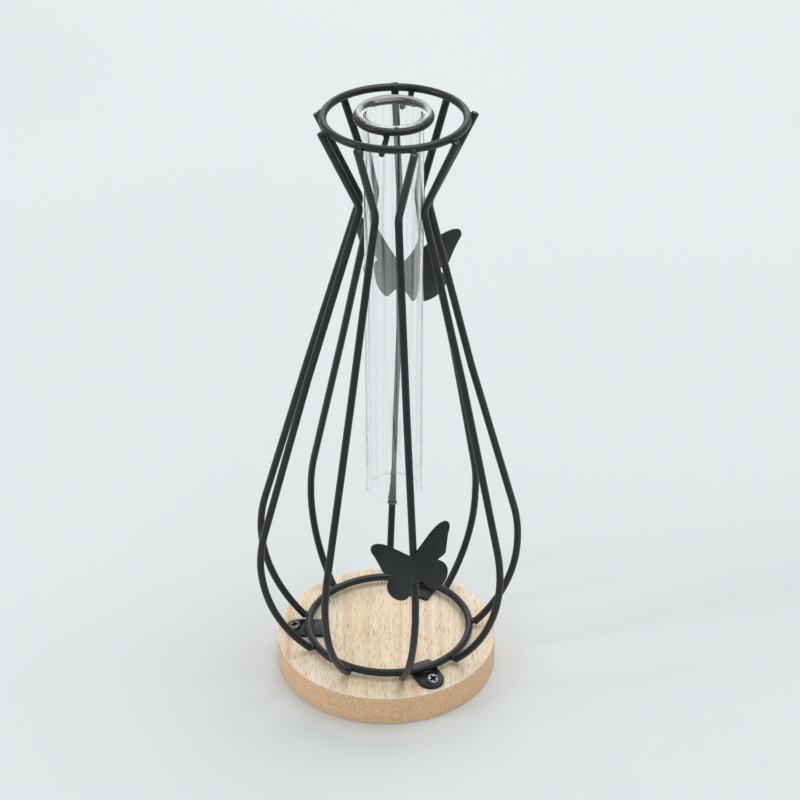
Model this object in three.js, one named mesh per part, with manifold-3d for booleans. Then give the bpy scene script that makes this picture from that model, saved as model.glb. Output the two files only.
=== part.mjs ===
// A bud vase: a glass tube hangs in a cage of nine bent wires, which stands on a round wooden base.
// Two wire rings join the wires at the top and the base, and two sheet butterflies sit on the wires.
// Millimetres, +Z up. The origin is the centre of the base's underside.

import * as THREE from 'three';
import { mergeVertices } from 'three/addons/utils/BufferGeometryUtils.js';
import Module from 'manifold-3d';

const wasm = await Module();
wasm.setup();

// Wooden base
const BASE_DIAMETER = 80;
const BASE_THICKNESS = 11.8;
const BASE_EDGE = 0.5;

// Wires and rings, ring radii to the middle of the wire and heights above the board
const RIB_WIRE = 2.6;
const TOP_RING_WIRE = 2.7;
const TUBE_RING_WIRE = 2.4;
const BASE_RING_WIRE = 2.8;
const ARM_WIRE = 2;
const WELD_GAP = 0.3;
const BASE_RING_INSET = 10.5;
const TOP_RING_RADIUS = 23.7;
const BELLY_RISE = 39.1;
const WAIST_RISE = 113;
const NECK_RISE = 176.4;
const CAGE_HEIGHT = 208.2;

// The hand-made cage leans and bows a little: how far its middle stands off the board's centre, [x, y],
// at the base ring, belly, waist, neck and top ring
const CAGE_SHIFTS = [[0.9, 0.7], [0.45, 0], [0.95, 0], [2.7, 0], [3.3, 0]];

// Upright wires: azimuth in degrees, how far each stands sideways at the same five heights, towards a
// growing azimuth, and how far its tip runs on past the top ring
const RIBS = {
  rib_wire_1: { azimuth: 5, sways: [-0.7, 0.5, -1, -0.5, 1], overrun: 1.4 },
  rib_wire_2: { azimuth: 46, sways: [0.9, 0.2, -3.8, -1.3, 0.6], overrun: 0.1 },
  rib_wire_3: { azimuth: 88.5, sways: [0.6, -1.1, -3.6, -2.1, 0.7], overrun: 1.6 },
  rib_wire_4: { azimuth: 127, sways: [1.9, 0, -1.7, -1, 2.2], overrun: 0.6 },
  rib_wire_5: { azimuth: 166.5, sways: [0.9, 0.1, -0.8, -1.3, 1], overrun: 0.4 },
  rib_wire_6: { azimuth: 194.5, sways: [5.9, 2.3, 0.7, 1.1, 4.6], overrun: 0.8 },
  rib_wire_7: { azimuth: 242, sways: [0, 0.5, 0.8, -0.4, 0.2], overrun: 0.7 },
  rib_wire_8: { azimuth: 281, sways: [-1.2, 0.5, 0.5, -0.6, 1.2], overrun: 0.5 },
  rib_wire_9: { azimuth: 327.5, sways: [-4.4, -0.9, 2.7, 0.4, -3.6], overrun: 0.5 },
};
const BELLY_BULGE = 17.9;
const WAIST_PINCH = 0.3;
const NECK_CLEARANCE = 0.59;
const NECK_BEND = 6.3;
const FOOT_DROP = 8;

// Glass tube and the wire ring that its lip hangs on, which stands a little off the top ring's middle
const TUBE_DIAMETER = 20;
const TUBE_LENGTH = 148.5;
const TUBE_WALL = 1;
const TUBE_FLOOR = 1.2;
const TUBE_CORNER = 0.6;
const TUBE_RING_SHIFT = [-0.4, 0, 0.5];
const TUBE_RING_PLAY = 1;
const LIP_CATCH = 1.5;
const LIP_THICKNESS = 1.1;
const LIP_FLARE = 1;
const SEAT_GAP = 0.3;

// Arms that carry the tube ring, welded under both rings: they reach a little past the middle of the
// tube ring's wire, and stop short of the top ring's
const ARM_AZIMUTHS = { front: 259, back: 76 };
const ARM_OVERRUN = 0.2;
const ARM_SETBACK = 0.6;

// Tabs that hold the cage down, numbered as their screws: azimuth in degrees, and the gap between the
// base ring and the screw's head
const TABS = {
  1: { azimuth: 179.5, ringGap: 1.7 },
  2: { azimuth: 296, ringGap: 2.5 },
  3: { azimuth: 63, ringGap: 1.1 },
};
const TAB_WIDTH = 9.4;
const TAB_THICKNESS = 1.5;
const TAB_END = 3.5;
const TAB_RUN = 11.7;
const SCREW_HEAD = 4;
const SCREW_HEAD_HEIGHT = 1.1;
const SCREW_SHANK = 2.2;
const SCREW_LENGTH = 8;
const SCREW_CLEARANCE = 0.3;
const SLOT_WIDTH = 0.62;
const SLOT_LENGTH = 2.6;
const SLOT_DEPTH = 0.8;

// Butterflies: the wire that each sits on, height above the board, how far the fold stands sideways off
// the wire, wing length, the wings' turn out of the wire's tangent plane, first on the side of the
// growing azimuth, and tilt, in degrees
const BUTTERFLY_SHEET = 0.6;
const BUTTERFLIES = {
  butterfly_lower: {
    rib: 'rib_wire_8', rise: 61.7, slide: -0.7, wing: 15.3, turns: [-9.5, 20.3], tilt: -7.2,
  },
  butterfly_upper: {
    rib: 'rib_wire_3', rise: 138.2, slide: -0.4, wing: 21.3, turns: [34.8, 14.3], tilt: -1.9,
  },
};

// Facets
const WIRE_SIDES = 8;
const RING_STEPS = 48;
const ROUND_STEPS = 48;
const TUBE_STEPS = 36;
const SCREW_STEPS = 16;
const NECK_STEPS = 5;
const BELLY_STEPS = 14;
const CURVE_STEPS = 4;
const CORNER_STEPS = 3;
const MERGE_TOLERANCE = 1e-4;

// Sizes that follow
const BASE_RADIUS = BASE_DIAMETER / 2;
const RIB_RADIUS = RIB_WIRE / 2;
const TUBE_RING_WIRE_RADIUS = TUBE_RING_WIRE / 2;
const TUBE_RADIUS = TUBE_DIAMETER / 2;
const TAB_TOP = BASE_THICKNESS + TAB_THICKNESS;
const BASE_RING_RADIUS = BASE_RADIUS - BASE_RING_INSET;
const BASE_RING_HEIGHT = TAB_TOP + BASE_RING_WIRE / 2;
const BELLY_HEIGHT = BASE_THICKNESS + BELLY_RISE;
const WAIST_HEIGHT = BASE_THICKNESS + WAIST_RISE;
const NECK_HEIGHT = BASE_THICKNESS + NECK_RISE;
const TOP_RING_HEIGHT = BASE_THICKNESS + CAGE_HEIGHT;
const TUBE_RING_RADIUS = TUBE_RADIUS + TUBE_RING_PLAY + TUBE_RING_WIRE_RADIUS;
const LIP_SEAT = TUBE_RING_WIRE_RADIUS + SEAT_GAP;
const LIP_TOP = LIP_SEAT + LIP_THICKNESS;
const LIP_RADIUS = TUBE_RADIUS + TUBE_RING_PLAY + LIP_CATCH;

const BLACK_PAINT = { color: 0x2b3031, roughness: 0.5, metalness: 0.1 };
const PALE_WOOD = { color: 0xdcc6a2, roughness: 0.75, metalness: 0 };
const CLEAR_GLASS = { color: 0xeef4f4, roughness: 0.05, metalness: 0, transparent: true, opacity: 0.35 };
const ZINC = { color: 0xc9ccd0, roughness: 0.35, metalness: 0.9 };

const vase = new THREE.Group();

function addMesh(name, geometry, finish, parent = vase) {
  const mesh = new THREE.Mesh(geometry, new THREE.MeshStandardMaterial(finish));
  mesh.name = name;
  parent.add(mesh);
  return mesh;
}

const radians = THREE.MathUtils.degToRad;

// Solids for joining and cutting

function toSolid(geometry) {
  const bare = geometry.clone();
  bare.deleteAttribute('normal');
  bare.deleteAttribute('uv');
  const merged = mergeVertices(bare, MERGE_TOLERANCE);
  const vertProperties = new Float32Array(merged.attributes.position.array);
  const triVerts = new Uint32Array(merged.index.array);
  return new wasm.Manifold(new wasm.Mesh({ numProp: 3, vertProperties, triVerts }));
}

function toGeometry(solid) {
  const { vertProperties, triVerts } = solid.getMesh();
  const geometry = new THREE.BufferGeometry();
  geometry.setAttribute('position', new THREE.BufferAttribute(vertProperties, 3));
  geometry.setIndex(new THREE.BufferAttribute(triVerts, 1));
  geometry.computeVertexNormals();
  return geometry;
}

// A turned piece about Z: the profile is a list of [radius, height] points
function turned(profile, steps) {
  const points = profile.map(([radius, height]) => new THREE.Vector2(radius, height));
  return new THREE.LatheGeometry(points, steps).rotateX(Math.PI / 2);
}

// A round rod along Z from one height to another
function rod(radius, low, high, steps) {
  return turned([[0, low], [radius, low], [radius, high], [0, high]], steps);
}

// Wires

function wireSection(radius) {
  const section = new THREE.Shape();
  section.absarc(0, 0, radius, 0, 2 * Math.PI);
  return section;
}

// A wire's middle line, given as stations, so that a straight run takes one step.
// At a station the wire points midway between the runs before and after it.
class WireLine extends THREE.Curve {
  constructor(stations) {
    super();
    this.stations = stations;
  }

  indexAt(share) {
    return Math.round(share * (this.stations.length - 1));
  }

  runTo(index) {
    const run = new THREE.Vector3();
    if (index > 0 && index < this.stations.length) {
      run.subVectors(this.stations[index], this.stations[index - 1]).normalize();
    }
    return run;
  }

  getPointAt(share, target = new THREE.Vector3()) {
    return target.copy(this.stations[this.indexAt(share)]);
  }

  getTangentAt(share, target = new THREE.Vector3()) {
    const index = this.indexAt(share);
    return target.addVectors(this.runTo(index), this.runTo(index + 1)).normalize();
  }
}

function wire(stations, radius) {
  return new THREE.ExtrudeGeometry(wireSection(radius), {
    steps: stations.length - 1,
    curveSegments: WIRE_SIDES / 2,
    extrudePath: new WireLine(stations),
  });
}

function ring(radius, wireDiameter) {
  return new THREE.TorusGeometry(radius, wireDiameter / 2, WIRE_SIDES, RING_STEPS);
}

// Value at a height, straight between the values at the cage's five heights

const CAGE_LEVELS = [BASE_RING_HEIGHT, BELLY_HEIGHT, WAIST_HEIGHT, NECK_HEIGHT, TOP_RING_HEIGHT];

function atHeight(values, height) {
  const passed = CAGE_LEVELS.slice(1, -1).filter((level) => level < height).length;
  const [low, high] = CAGE_LEVELS.slice(passed);
  return THREE.MathUtils.lerp(values[passed], values[passed + 1], (height - low) / (high - low));
}

function cageMiddle(height) {
  const [x, y] = [0, 1].map((axis) => atHeight(CAGE_SHIFTS.map((shift) => shift[axis]), height));
  return new THREE.Vector3(x, y, height);
}

const TUBE_RING_MIDDLE = cageMiddle(TOP_RING_HEIGHT).add(new THREE.Vector3(...TUBE_RING_SHIFT));

// The upright's profile in a plane through the cage's middle, as [radius, height] vectors.
// It runs from its weld outside the top ring, straight in to the neck, round the neck's bend, down past
// the slightly pinched waist to the belly's arc, and round that arc to its foot outside the base ring.

const vec = (x, y) => new THREE.Vector2(x, y);
const along = (angle) => vec(Math.cos(angle), Math.sin(angle));

function arcPoints(centre, radius, start, end, steps) {
  return Array.from({ length: steps + 1 }, (_, i) => {
    const angle = start + ((end - start) * i) / steps;
    return centre.clone().addScaledVector(along(angle), radius);
  });
}

// The straight run between two circles that crosses from one side to the other: it leaves the first
// circle on its left (1) or right (-1) and the second on the other side
function crossingTangent(from, to, side) {
  const apart = to.centre.clone().sub(from.centre);
  const angle = apart.angle() + side * Math.asin((from.radius + to.radius) / apart.length());
  const normal = along(angle + (side * Math.PI) / 2);
  return { angle, start: from.centre.clone().addScaledVector(normal, -from.radius) };
}

function ribProfile() {
  const topRing = {
    centre: vec(TOP_RING_RADIUS, TOP_RING_HEIGHT),
    radius: TOP_RING_WIRE / 2 + RIB_RADIUS + WELD_GAP,
  };

  // The tube hangs plumb in the leaning cage, so the neck leaves room for the lean below its ring
  const neckLag = TUBE_RING_MIDDLE.clone().setZ(NECK_HEIGHT).distanceTo(cageMiddle(NECK_HEIGHT));
  const neckRadius = TUBE_RADIUS + neckLag + NECK_CLEARANCE + RIB_RADIUS;
  const neck = { centre: vec(neckRadius + NECK_BEND, NECK_HEIGHT), radius: NECK_BEND };

  // The belly's arc is upright at its greatest radius, and ends at the foot beside the base ring
  const footReach = BASE_RING_WIRE / 2 + RIB_RADIUS + WELD_GAP;
  const foot = vec(BASE_RING_RADIUS, BASE_RING_HEIGHT)
    .addScaledVector(along(-radians(FOOT_DROP)), footReach);
  const bellyRadius = BASE_RING_RADIUS + BELLY_BULGE;
  const inset = bellyRadius - foot.x;
  const rise = BELLY_HEIGHT - foot.y;
  const bellyBend = (inset ** 2 + rise ** 2) / (2 * inset);
  const belly = { centre: vec(bellyRadius - bellyBend, BELLY_HEIGHT), radius: bellyBend };

  const flare = crossingTangent(topRing, neck, -1);
  const body = crossingTangent(neck, belly, 1);
  const quarter = Math.PI / 2;
  const bellyStart = body.angle - 3 * quarter;
  const bellyEnd = -Math.asin(rise / bellyBend);
  const neckArc = arcPoints(neck.centre, NECK_BEND, flare.angle - quarter, body.angle - quarter, NECK_STEPS);
  const bellyArc = arcPoints(belly.centre, bellyBend, bellyStart, bellyEnd, BELLY_STEPS);
  const waist = pointAtHeight(neckArc.at(-1), bellyArc[0], WAIST_HEIGHT);
  waist.x -= WAIST_PINCH;
  return [flare.start, ...neckArc, waist, ...bellyArc];
}

// The point at a height on the line through two points of the profile
function pointAtHeight(high, low, height) {
  return high.clone().lerp(low, (height - high.y) / (low.y - high.y));
}

const RIB_PROFILE = ribProfile();

// Outward and sideways directions of an upright
function ribAxes({ azimuth }) {
  const angle = radians(azimuth);
  return {
    out: new THREE.Vector3(Math.cos(angle), Math.sin(angle), 0),
    side: new THREE.Vector3(-Math.sin(angle), Math.cos(angle), 0),
  };
}

// Point of an upright, from its profile's radius and height: where it stands sideways it keeps its
// distance from the cage's middle, and so from the rings
function ribPoint(rib, { x: radius, y: height }) {
  const { out, side } = ribAxes(rib);
  const sway = atHeight(rib.sways, height);
  const outward = Math.sqrt(radius ** 2 - sway ** 2);
  return cageMiddle(height).addScaledVector(out, outward).addScaledVector(side, sway);
}

function ribStations(rib) {
  const [weld, neck] = RIB_PROFILE;
  const flare = weld.clone().sub(neck).normalize();
  const tip = weld.clone().addScaledVector(flare, rib.overrun);
  return [tip, ...RIB_PROFILE.slice(1)].map((point) => ribPoint(rib, point));
}

// A group about the cage's middle at a height, turned to an azimuth
function cagePlace(height, azimuth = 0) {
  const place = new THREE.Group();
  place.position.copy(cageMiddle(height));
  place.rotation.z = radians(azimuth);
  vase.add(place);
  return place;
}

// Base, with pilot holes for the screws
function woodBase() {
  const disc = turned([
    [0, 0],
    [BASE_RADIUS - BASE_EDGE, 0],
    [BASE_RADIUS, BASE_EDGE],
    [BASE_RADIUS, BASE_THICKNESS - BASE_EDGE],
    [BASE_RADIUS - BASE_EDGE, BASE_THICKNESS],
    [0, BASE_THICKNESS],
  ], ROUND_STEPS);
  const holeRadius = SCREW_SHANK / 2 + SCREW_CLEARANCE;
  const holeFloor = TAB_TOP - SCREW_LENGTH - SCREW_CLEARANCE;
  const { x, y } = cageMiddle(BASE_RING_HEIGHT);
  let solid = toSolid(disc);
  for (const { azimuth, ringGap } of Object.values(TABS)) {
    const hole = rod(holeRadius, holeFloor, TAB_TOP, SCREW_STEPS);
    hole.translate(screwReach(ringGap), 0, 0).rotateZ(radians(azimuth)).translate(x, y, 0);
    solid = solid.subtract(toSolid(hole));
  }
  return toGeometry(solid);
}

// Distance of a screw from the base ring's centre
function screwReach(ringGap) {
  return BASE_RING_RADIUS + BASE_RING_WIRE / 2 + ringGap + SCREW_HEAD / 2;
}

// A tab along X, with the screw hole at the origin: a round end just past the hole, and a square end
// inside the base ring
function tab() {
  const half = TAB_WIDTH / 2;
  const roundStart = TAB_END - half;
  const outline = new THREE.Shape();
  outline.moveTo(-TAB_RUN, -half);
  outline.lineTo(roundStart, -half);
  outline.absarc(roundStart, 0, half, -Math.PI / 2, Math.PI / 2);
  outline.lineTo(-TAB_RUN, half);
  outline.closePath();
  const hole = new THREE.Path();
  hole.absarc(0, 0, SCREW_SHANK / 2 + SCREW_CLEARANCE, 0, 2 * Math.PI);
  outline.holes.push(hole);
  return new THREE.ExtrudeGeometry(outline, {
    depth: TAB_THICKNESS,
    bevelEnabled: false,
    curveSegments: SCREW_STEPS / 2,
  });
}

// A screw with a domed head and a cross recess, its head's underside at height zero
function screw() {
  const head = SCREW_HEAD / 2;
  const shank = SCREW_SHANK / 2;
  const body = turned([
    [0, -SCREW_LENGTH],
    [shank, shank - SCREW_LENGTH],
    [shank, 0],
    [head, 0],
    [head, SCREW_HEAD_HEIGHT / 2],
    [head / 2, SCREW_HEAD_HEIGHT],
    [0, SCREW_HEAD_HEIGHT],
  ], SCREW_STEPS);
  const bar = new THREE.BoxGeometry(SLOT_LENGTH, SLOT_WIDTH, 2 * SLOT_DEPTH);
  bar.translate(0, 0, SCREW_HEAD_HEIGHT);
  const cross = toSolid(bar).add(toSolid(bar.clone().rotateZ(Math.PI / 2)));
  return toGeometry(toSolid(body).subtract(cross));
}

// One butterfly wing, from the fold outwards, with its points as shares of the wing's length:
// leading edge, tip, outer edge, notch and lower lobe, each as one curve
const FOLD_TOP = 0.12;
const FOLD_FOOT = -0.43;

function wingOutline(length) {
  const at = (x, y) => [x * length, y * length];
  const wing = new THREE.Shape();
  wing.moveTo(...at(0, FOLD_TOP));
  wing.bezierCurveTo(...at(0.32, 0.36), ...at(0.59, 0.68), ...at(0.84, 0.72));
  wing.bezierCurveTo(...at(0.96, 0.74), ...at(1.02, 0.66), ...at(0.97, 0.53));
  wing.bezierCurveTo(...at(0.89, 0.37), ...at(0.84, 0.17), ...at(0.79, 0.02));
  wing.bezierCurveTo(...at(0.75, -0.06), ...at(0.65, -0.07), ...at(0.57, -0.11));
  wing.bezierCurveTo(...at(0.65, -0.18), ...at(0.74, -0.22), ...at(0.76, -0.37));
  wing.bezierCurveTo(...at(0.77, -0.58), ...at(0.57, -0.8), ...at(0.36, -0.79));
  wing.bezierCurveTo(...at(0.22, -0.79), ...at(0.18, -0.49), ...at(0, FOLD_FOOT));
  wing.closePath();
  return wing;
}

function wingPlate(length) {
  const plate = new THREE.ExtrudeGeometry(wingOutline(length), {
    depth: BUTTERFLY_SHEET,
    bevelEnabled: false,
    curveSegments: CURVE_STEPS,
  });
  return plate.translate(0, 0, -BUTTERFLY_SHEET / 2);
}

// Both wings share the fold, which runs along Y at x = 0, and turn out of the plane about it
function butterfly({ wing, turns }) {
  const [nearTurn, farTurn] = turns.map(radians);
  const nearWing = wingPlate(wing).rotateY(-nearTurn);
  const farWing = wingPlate(wing).rotateY(Math.PI + farTurn);
  const bend = BUTTERFLY_SHEET / 2;
  const foldLength = (FOLD_TOP - FOLD_FOOT) * wing;
  const fold = new THREE.CylinderGeometry(bend, bend, foldLength, WIRE_SIDES);
  fold.translate(0, FOLD_TOP * wing - foldLength / 2, 0);
  return toGeometry(toSolid(nearWing).add(toSolid(farWing)).add(toSolid(fold)));
}

// The fold lies on the outside of its upright's long straight run
function placeButterfly(mesh, { rib, rise, slide, turns, tilt }) {
  const upright = RIBS[rib];
  const height = BASE_THICKNESS + rise;
  const lowIndex = RIB_PROFILE.findIndex((point) => point.y < height);
  const [high, low] = RIB_PROFILE.slice(lowIndex - 1);
  const seat = ribPoint(upright, pointAtHeight(high, low, height));
  const up = ribPoint(upright, high).sub(ribPoint(upright, low)).normalize();
  const out = ribAxes(upright).side.cross(up).normalize();
  const across = up.clone().cross(out);
  const steepest = Math.max(...turns.map((turn) => Math.abs(radians(turn))));
  const reach = (RIB_RADIUS + WELD_GAP + BUTTERFLY_SHEET / 2) / Math.cos(steepest);
  mesh.quaternion.setFromRotationMatrix(new THREE.Matrix4().makeBasis(across, up, out));
  mesh.rotateZ(-radians(tilt));
  mesh.position.copy(seat.addScaledVector(out, reach).addScaledVector(across, slide));
}

// Glass tube, open at the top, with a flared lip that hangs on the tube ring.
// Its heights are above the middle of that ring.

function roundedCorner(x, y, radius, start, end) {
  return arcPoints(vec(x, y), radius, start, end, CORNER_STEPS).map((point) => point.toArray());
}

function glassTube() {
  const bore = TUBE_RADIUS - TUBE_WALL;
  const bottom = LIP_TOP - TUBE_LENGTH;
  const floor = bottom + TUBE_FLOOR;
  const flareFoot = LIP_SEAT - LIP_FLARE;
  const rim = LIP_THICKNESS / 2;
  const rimCentre = LIP_RADIUS - rim;
  const quarter = Math.PI / 2;
  return turned([
    [0, bottom],
    ...roundedCorner(TUBE_RADIUS - TUBE_CORNER, bottom + TUBE_CORNER, TUBE_CORNER, -quarter, 0),
    [TUBE_RADIUS, flareFoot],
    ...roundedCorner(rimCentre, LIP_SEAT + rim, rim, -quarter, quarter),
    [bore, flareFoot],
    [bore, floor],
    [0, floor],
  ], TUBE_STEPS);
}

// Assembly: base, tabs and screws

addMesh('wood_base', woodBase(), PALE_WOOD);
for (const [number, { azimuth, ringGap }] of Object.entries(TABS)) {
  const place = new THREE.Group();
  place.position.set(screwReach(ringGap), 0, BASE_THICKNESS - BASE_RING_HEIGHT);
  cagePlace(BASE_RING_HEIGHT, azimuth).add(place);
  addMesh(`mounting_tab_${number}`, tab(), BLACK_PAINT, place);
  addMesh(`tab_screw_${number}`, screw(), ZINC, place).position.z = TAB_THICKNESS;
}

// Assembly: wire cage

addMesh('base_ring', ring(BASE_RING_RADIUS, BASE_RING_WIRE), BLACK_PAINT, cagePlace(BASE_RING_HEIGHT));
for (const [name, rib] of Object.entries(RIBS)) {
  addMesh(name, wire(ribStations(rib), RIB_RADIUS), BLACK_PAINT);
}

const tubePlace = new THREE.Group();
tubePlace.position.copy(TUBE_RING_MIDDLE);
vase.add(tubePlace);
addMesh('top_ring', ring(TOP_RING_RADIUS, TOP_RING_WIRE), BLACK_PAINT, cagePlace(TOP_RING_HEIGHT));
addMesh('tube_ring', ring(TUBE_RING_RADIUS, TUBE_RING_WIRE), BLACK_PAINT, tubePlace);

// An arm's middle lies below the middle of each ring that it is welded under
const armDrop = (ringWire) => ringWire / 2 + WELD_GAP + ARM_WIRE / 2;
for (const [end, azimuth] of Object.entries(ARM_AZIMUTHS)) {
  const { out } = ribAxes({ azimuth });
  const inner = TUBE_RING_MIDDLE.clone().addScaledVector(out, TUBE_RING_RADIUS - ARM_OVERRUN);
  const outer = cageMiddle(TOP_RING_HEIGHT).addScaledVector(out, TOP_RING_RADIUS - ARM_SETBACK);
  inner.z -= armDrop(TUBE_RING_WIRE);
  outer.z -= armDrop(TOP_RING_WIRE);
  addMesh(`tube_ring_arm_${end}`, wire([inner, outer], ARM_WIRE / 2), BLACK_PAINT);
}

// Assembly: butterflies and tube

for (const [name, design] of Object.entries(BUTTERFLIES)) {
  placeButterfly(addMesh(name, butterfly(design), BLACK_PAINT), design);
}
addMesh('glass_tube', glassTube(), CLEAR_GLASS, tubePlace);

export default vase;
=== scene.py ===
"""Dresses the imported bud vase: a glass tube in a cage of black wires on a round wooden base.

Sizes are millimetres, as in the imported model, and each finished mesh is scaled to metres. The camera,
the stage and the lengths inside shaders are metres.
"""

import math

import bmesh
import bpy
from mathutils import Matrix, Vector, noise

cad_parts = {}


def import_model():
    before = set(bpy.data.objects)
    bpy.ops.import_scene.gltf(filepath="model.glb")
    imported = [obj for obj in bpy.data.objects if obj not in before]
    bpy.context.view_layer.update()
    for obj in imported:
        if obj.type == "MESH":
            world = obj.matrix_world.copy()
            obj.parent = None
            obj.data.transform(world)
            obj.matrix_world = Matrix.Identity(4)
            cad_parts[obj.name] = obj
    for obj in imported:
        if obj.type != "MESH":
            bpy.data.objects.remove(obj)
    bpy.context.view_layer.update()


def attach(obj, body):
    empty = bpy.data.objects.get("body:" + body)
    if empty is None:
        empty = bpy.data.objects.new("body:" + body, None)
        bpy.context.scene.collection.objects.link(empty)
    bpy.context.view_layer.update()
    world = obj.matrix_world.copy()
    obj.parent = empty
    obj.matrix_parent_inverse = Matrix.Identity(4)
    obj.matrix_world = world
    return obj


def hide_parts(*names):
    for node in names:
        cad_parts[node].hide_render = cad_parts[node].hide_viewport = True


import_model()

MM = 0.001
PI = math.pi

# Camera of the photograph: metres, degrees, and its focal length in pixels of an 800 pixel frame
CAMERA_PLACE = (0, -0.7602, 0.5810)
CAMERA_PITCH = 31.68
CAMERA_YAW = 0.373
CAMERA_FOCUS = 2566
PHOTO_WIDTH = 800
SENSOR_WIDTH = 36

# Stage in metres. Each softbox has a place, an aim, a size and its watts.
FLOOR_REACH = 6
FLOOR_DARK = (0.71, 0.737, 0.745)
FLOOR_LIGHT = (0.73, 0.757, 0.765)
BACKDROP = (0.755, 0.785, 0.795)
SKY = (0.97, 0.99, 1)
SKY_STRENGTH = 0.55
SOFTBOXES = {
    "overhead": ((0.42, 0.25, 2.2), (0, 0, 0), (1.4, 1.4), 22),
    "left_strip": ((-1.25, -0.35, 0.95), (0, 0, 0.1), (0.2, 1.0), 4),
    "back": ((0, 1.6, 0.95), (0, 0, 0.15), (1.6, 0.7), 6),
}

# Colours
PAINT_DARK = (0.0065, 0.0092, 0.0112)
PAINT_LIGHT = (0.0105, 0.0135, 0.016)
WOOD_DARK = (0.93, 0.755, 0.54)
WOOD_MIDDLE = (0.965, 0.825, 0.62)
WOOD_PALE = (0.97, 0.86, 0.69)
WOOD_LINE = (0.77, 0.51, 0.32)
WOOD_FIBRE = (0.74, 0.52, 0.315)
WOOD_PORE = (0.50, 0.29, 0.15)
# Pale rounded edges: partly frayed fibre, partly painted highlight
WOOD_FRAY_AND_HIGHLIGHT = (0.97, 0.89, 0.78)
SAWN_DARK = (0.66, 0.40, 0.215)
SAWN_MIDDLE = (0.84, 0.565, 0.345)
SAWN_PALE = (0.93, 0.70, 0.48)
ZINC_DARK = (0.22, 0.22, 0.225)
ZINC_LIGHT = (0.42, 0.42, 0.43)
# Painted reflection of the wood, orange, on the outer edge of the left screw
PAINTED_WOOD_REFLECTION = (0.42, 0.12, 0.035)
# Painted shade down in the screws' cross recess
RECESS_SHADE = (0.005, 0.005, 0.005)
GLASS_TINT = (0.99, 0.998, 0.996)
GLASS_CLEAR = (1, 1, 1)
# Painted highlight colour for the glass rim's crest and its foot's corner
GLASS_HIGHLIGHT = (1, 0.985, 0.93)

# Wooden base. Its side stands BASE_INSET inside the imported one, and frays inwards from there.
BASE_RADIUS = 40
BASE_INSET = 0.05
BASE_THICKNESS = 11.8
BASE_EDGE = 0.5
BASE_RIM = 1
EDGE_FRAY = 0.12
FRAY_GRAIN = (0.8, 0.8, 0.35)

# Wires and rings, to the middle of the wire. A cut end is rounded over WIRE_END: the wire has the share
# END_FACE of its radius at the end's face, and END_EASE at the share END_EASE_PLACE of that length.
RIB_WIRE = 2.6
TOP_RING_WIRE = 2.65
TUBE_RING_WIRE = 2.35
BASE_RING_WIRE = 2.78
ARM_WIRE = 1.95
WIRE_END = 0.2
END_FACE = 0.82
END_EASE = 0.95
END_EASE_PLACE = 0.3
WELD_GAP = -0.05
BASE_RING_RADIUS = 29.5
TOP_RING_RADIUS = 23.7
TUBE_RING_RADIUS = 12.2
TUBE_RING_PLACE = Vector((2.9, 0, 220.5))

# The hand-made cage leans and bows a little: its middle at the base ring, belly, waist, neck and top ring
CAGE_MIDDLE = [
    Vector(place)
    for place in ((0.9, 0.7, 14.7), (0.45, 0, 50.9), (0.95, 0, 124.8), (2.7, 0, 188.2), (3.3, 0, 220))
]

# Upright wires: azimuth in degrees, how far each stands sideways at the same five heights, and how far
# its tip runs on past the top ring
RIBS = {
    "rib_wire_1": (5, (-0.7, 0.5, -1, -0.5, 1), 1.4),
    "rib_wire_2": (46, (0.9, 0.2, -3.8, -1.3, 0.6), 0.1),
    "rib_wire_3": (88.5, (0.6, -1.1, -3.6, -2.1, 0.7), 1.6),
    "rib_wire_4": (127, (1.9, 0, -1.7, -1, 2.2), 0.6),
    "rib_wire_5": (166.5, (0.9, 0.1, -0.8, -1.3, 1), 0.4),
    "rib_wire_6": (194.5, (5.9, 2.3, 0.7, 1.1, 4.6), 0.8),
    "rib_wire_7": (242, (0, 0.5, 0.8, -0.4, 0.2), 0.7),
    "rib_wire_8": (281, (-1.2, 0.5, 0.5, -0.6, 1.2), 0.5),
    "rib_wire_9": (327.5, (-4.4, -0.9, 2.7, 0.4, -3.6), 0.5),
}
BELLY_RADIUS = 47.34
WAIST_PINCH = 0.3
NECK_RADIUS = 12.05
NECK_BEND = 6.3
FOOT_DROP = 8
FOOT_OVERRUN = 0.8

# Weld beads: length and width. A weld share says how far a bead lies from the wire towards its ring.
TOP_WELD = (2.8, 2.2)
TOP_WELD_SHARE = 0.45
FOOT_WELD = (3, 2.2)
FOOT_WELD_SHARE = 0.42
TAB_WELD = (5.2, 1.1)
TAB_WELD_SIDE = 1.1
TAB_WELD_RISE = 0.25
ARM_WELD = (2.2, 1.3)
ARM_WELD_INNER = 0.8
ARM_WELD_OUTER = 0.4
ARM_WELD_SHARE = 0.45
WING_WELD = (2.2, 1.2)
WING_WELD_SHARE = 0.62
WING_WELD_PLACES = (-0.32, -0.02)
BEAD_UNEVEN = 0.25
BEAD_GRAIN = 0.9

# Glass tube. Between the two heights of TUBE_FOOT above its bottom, the glass goes from bending light
# little to bending it fully.
TUBE_RADIUS = 10
TUBE_BOTTOM = 74.6
TUBE_WALL = 1
TUBE_FLOOR = 1.2
TUBE_CORNER = 0.6
BORE_CORNER = 0.4
LIP_RADIUS = 12.45
LIP_SEAT = 221.7
LIP_TOP = 222.75
LIP_FLARE = 1.3
BORE_FLARE_RISE = 0.4
FLARE_POWER = 2.2
RIM_CREST = 0.5
# Painted highlights: how much white the glass rim's crest and its foot's corner get
RIM_HIGHLIGHT = 0.3
CORNER_HIGHLIGHT = 0.6
TUBE_FOOT = (2, 9)
FOOT_IOR = 1.03
GLASS_IOR = 1.38
COAT_IOR = 1.5

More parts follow.
